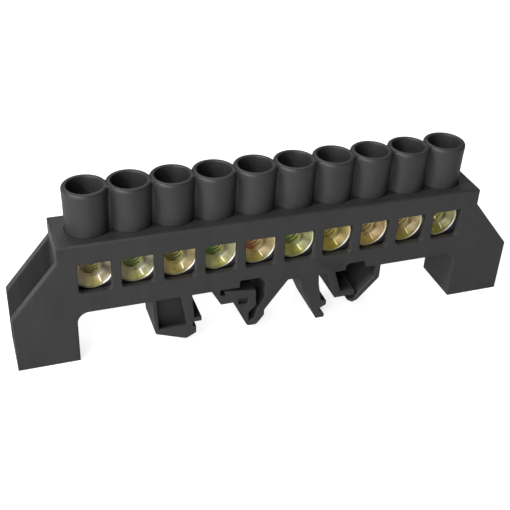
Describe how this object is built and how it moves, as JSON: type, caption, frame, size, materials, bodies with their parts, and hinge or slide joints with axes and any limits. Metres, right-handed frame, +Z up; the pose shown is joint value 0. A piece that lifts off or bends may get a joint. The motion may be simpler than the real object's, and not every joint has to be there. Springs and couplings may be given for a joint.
{
  "type": "earth terminal bar",
  "caption": "Bridge-type earth terminal bar: a bored metal bar with clamping screws under insulating towers, on two feet, with a clip for a mounting rail.",
  "frame": {"origin": "middle of the part's footprint, on the surface that the feet stand on", "axes": "+X along the row of ways, -Y is the side where the wires go in, +Z up"},
  "size_m": [0.1106, 0.012, 0.0375],
  "materials": {
    "housing": "satin moulded",
    "busbar": "yellow passivated",
    "screw": "yellow passivated"
  },
  "bodies": {
    "terminal": {"housing": "housing", "busbar": "busbar"},
    "screw_01": {"screw_01": "screw"},
    "screw_02": {"screw_02": "screw"},
    "screw_03": {"screw_03": "screw"},
    "screw_04": {"screw_04": "screw"},
    "screw_05": {"screw_05": "screw"},
    "screw_06": {"screw_06": "screw"},
    "screw_07": {"screw_07": "screw"},
    "screw_08": {"screw_08": "screw"},
    "screw_09": {"screw_09": "screw"},
    "screw_10": {"screw_10": "screw"}
  },
  "joints": [
    {"name": "screw_01_travel", "type": "slide", "parent": "terminal", "child": "screw_01", "axis": [0, 0, 1], "range_m": [-0.0027, 0.002]},
    {"name": "screw_02_travel", "type": "slide", "parent": "terminal", "child": "screw_02", "axis": [0, 0, 1], "range_m": [-0.0027, 0.002]},
    {"name": "screw_03_travel", "type": "slide", "parent": "terminal", "child": "screw_03", "axis": [0, 0, 1], "range_m": [-0.0027, 0.002]},
    {"name": "screw_04_travel", "type": "slide", "parent": "terminal", "child": "screw_04", "axis": [0, 0, 1], "range_m": [-0.0027, 0.002]},
    {"name": "screw_05_travel", "type": "slide", "parent": "terminal", "child": "screw_05", "axis": [0, 0, 1], "range_m": [-0.0027, 0.002]},
    {"name": "screw_06_travel", "type": "slide", "parent": "terminal", "child": "screw_06", "axis": [0, 0, 1], "range_m": [-0.0027, 0.002]},
    {"name": "screw_07_travel", "type": "slide", "parent": "terminal", "child": "screw_07", "axis": [0, 0, 1], "range_m": [-0.0027, 0.002]},
    {"name": "screw_08_travel", "type": "slide", "parent": "terminal", "child": "screw_08", "axis": [0, 0, 1], "range_m": [-0.0027, 0.002]},
    {"name": "screw_09_travel", "type": "slide", "parent": "terminal", "child": "screw_09", "axis": [0, 0, 1], "range_m": [-0.0027, 0.002]},
    {"name": "screw_10_travel", "type": "slide", "parent": "terminal", "child": "screw_10", "axis": [0, 0, 1], "range_m": [-0.0027, 0.002]}
  ]
}
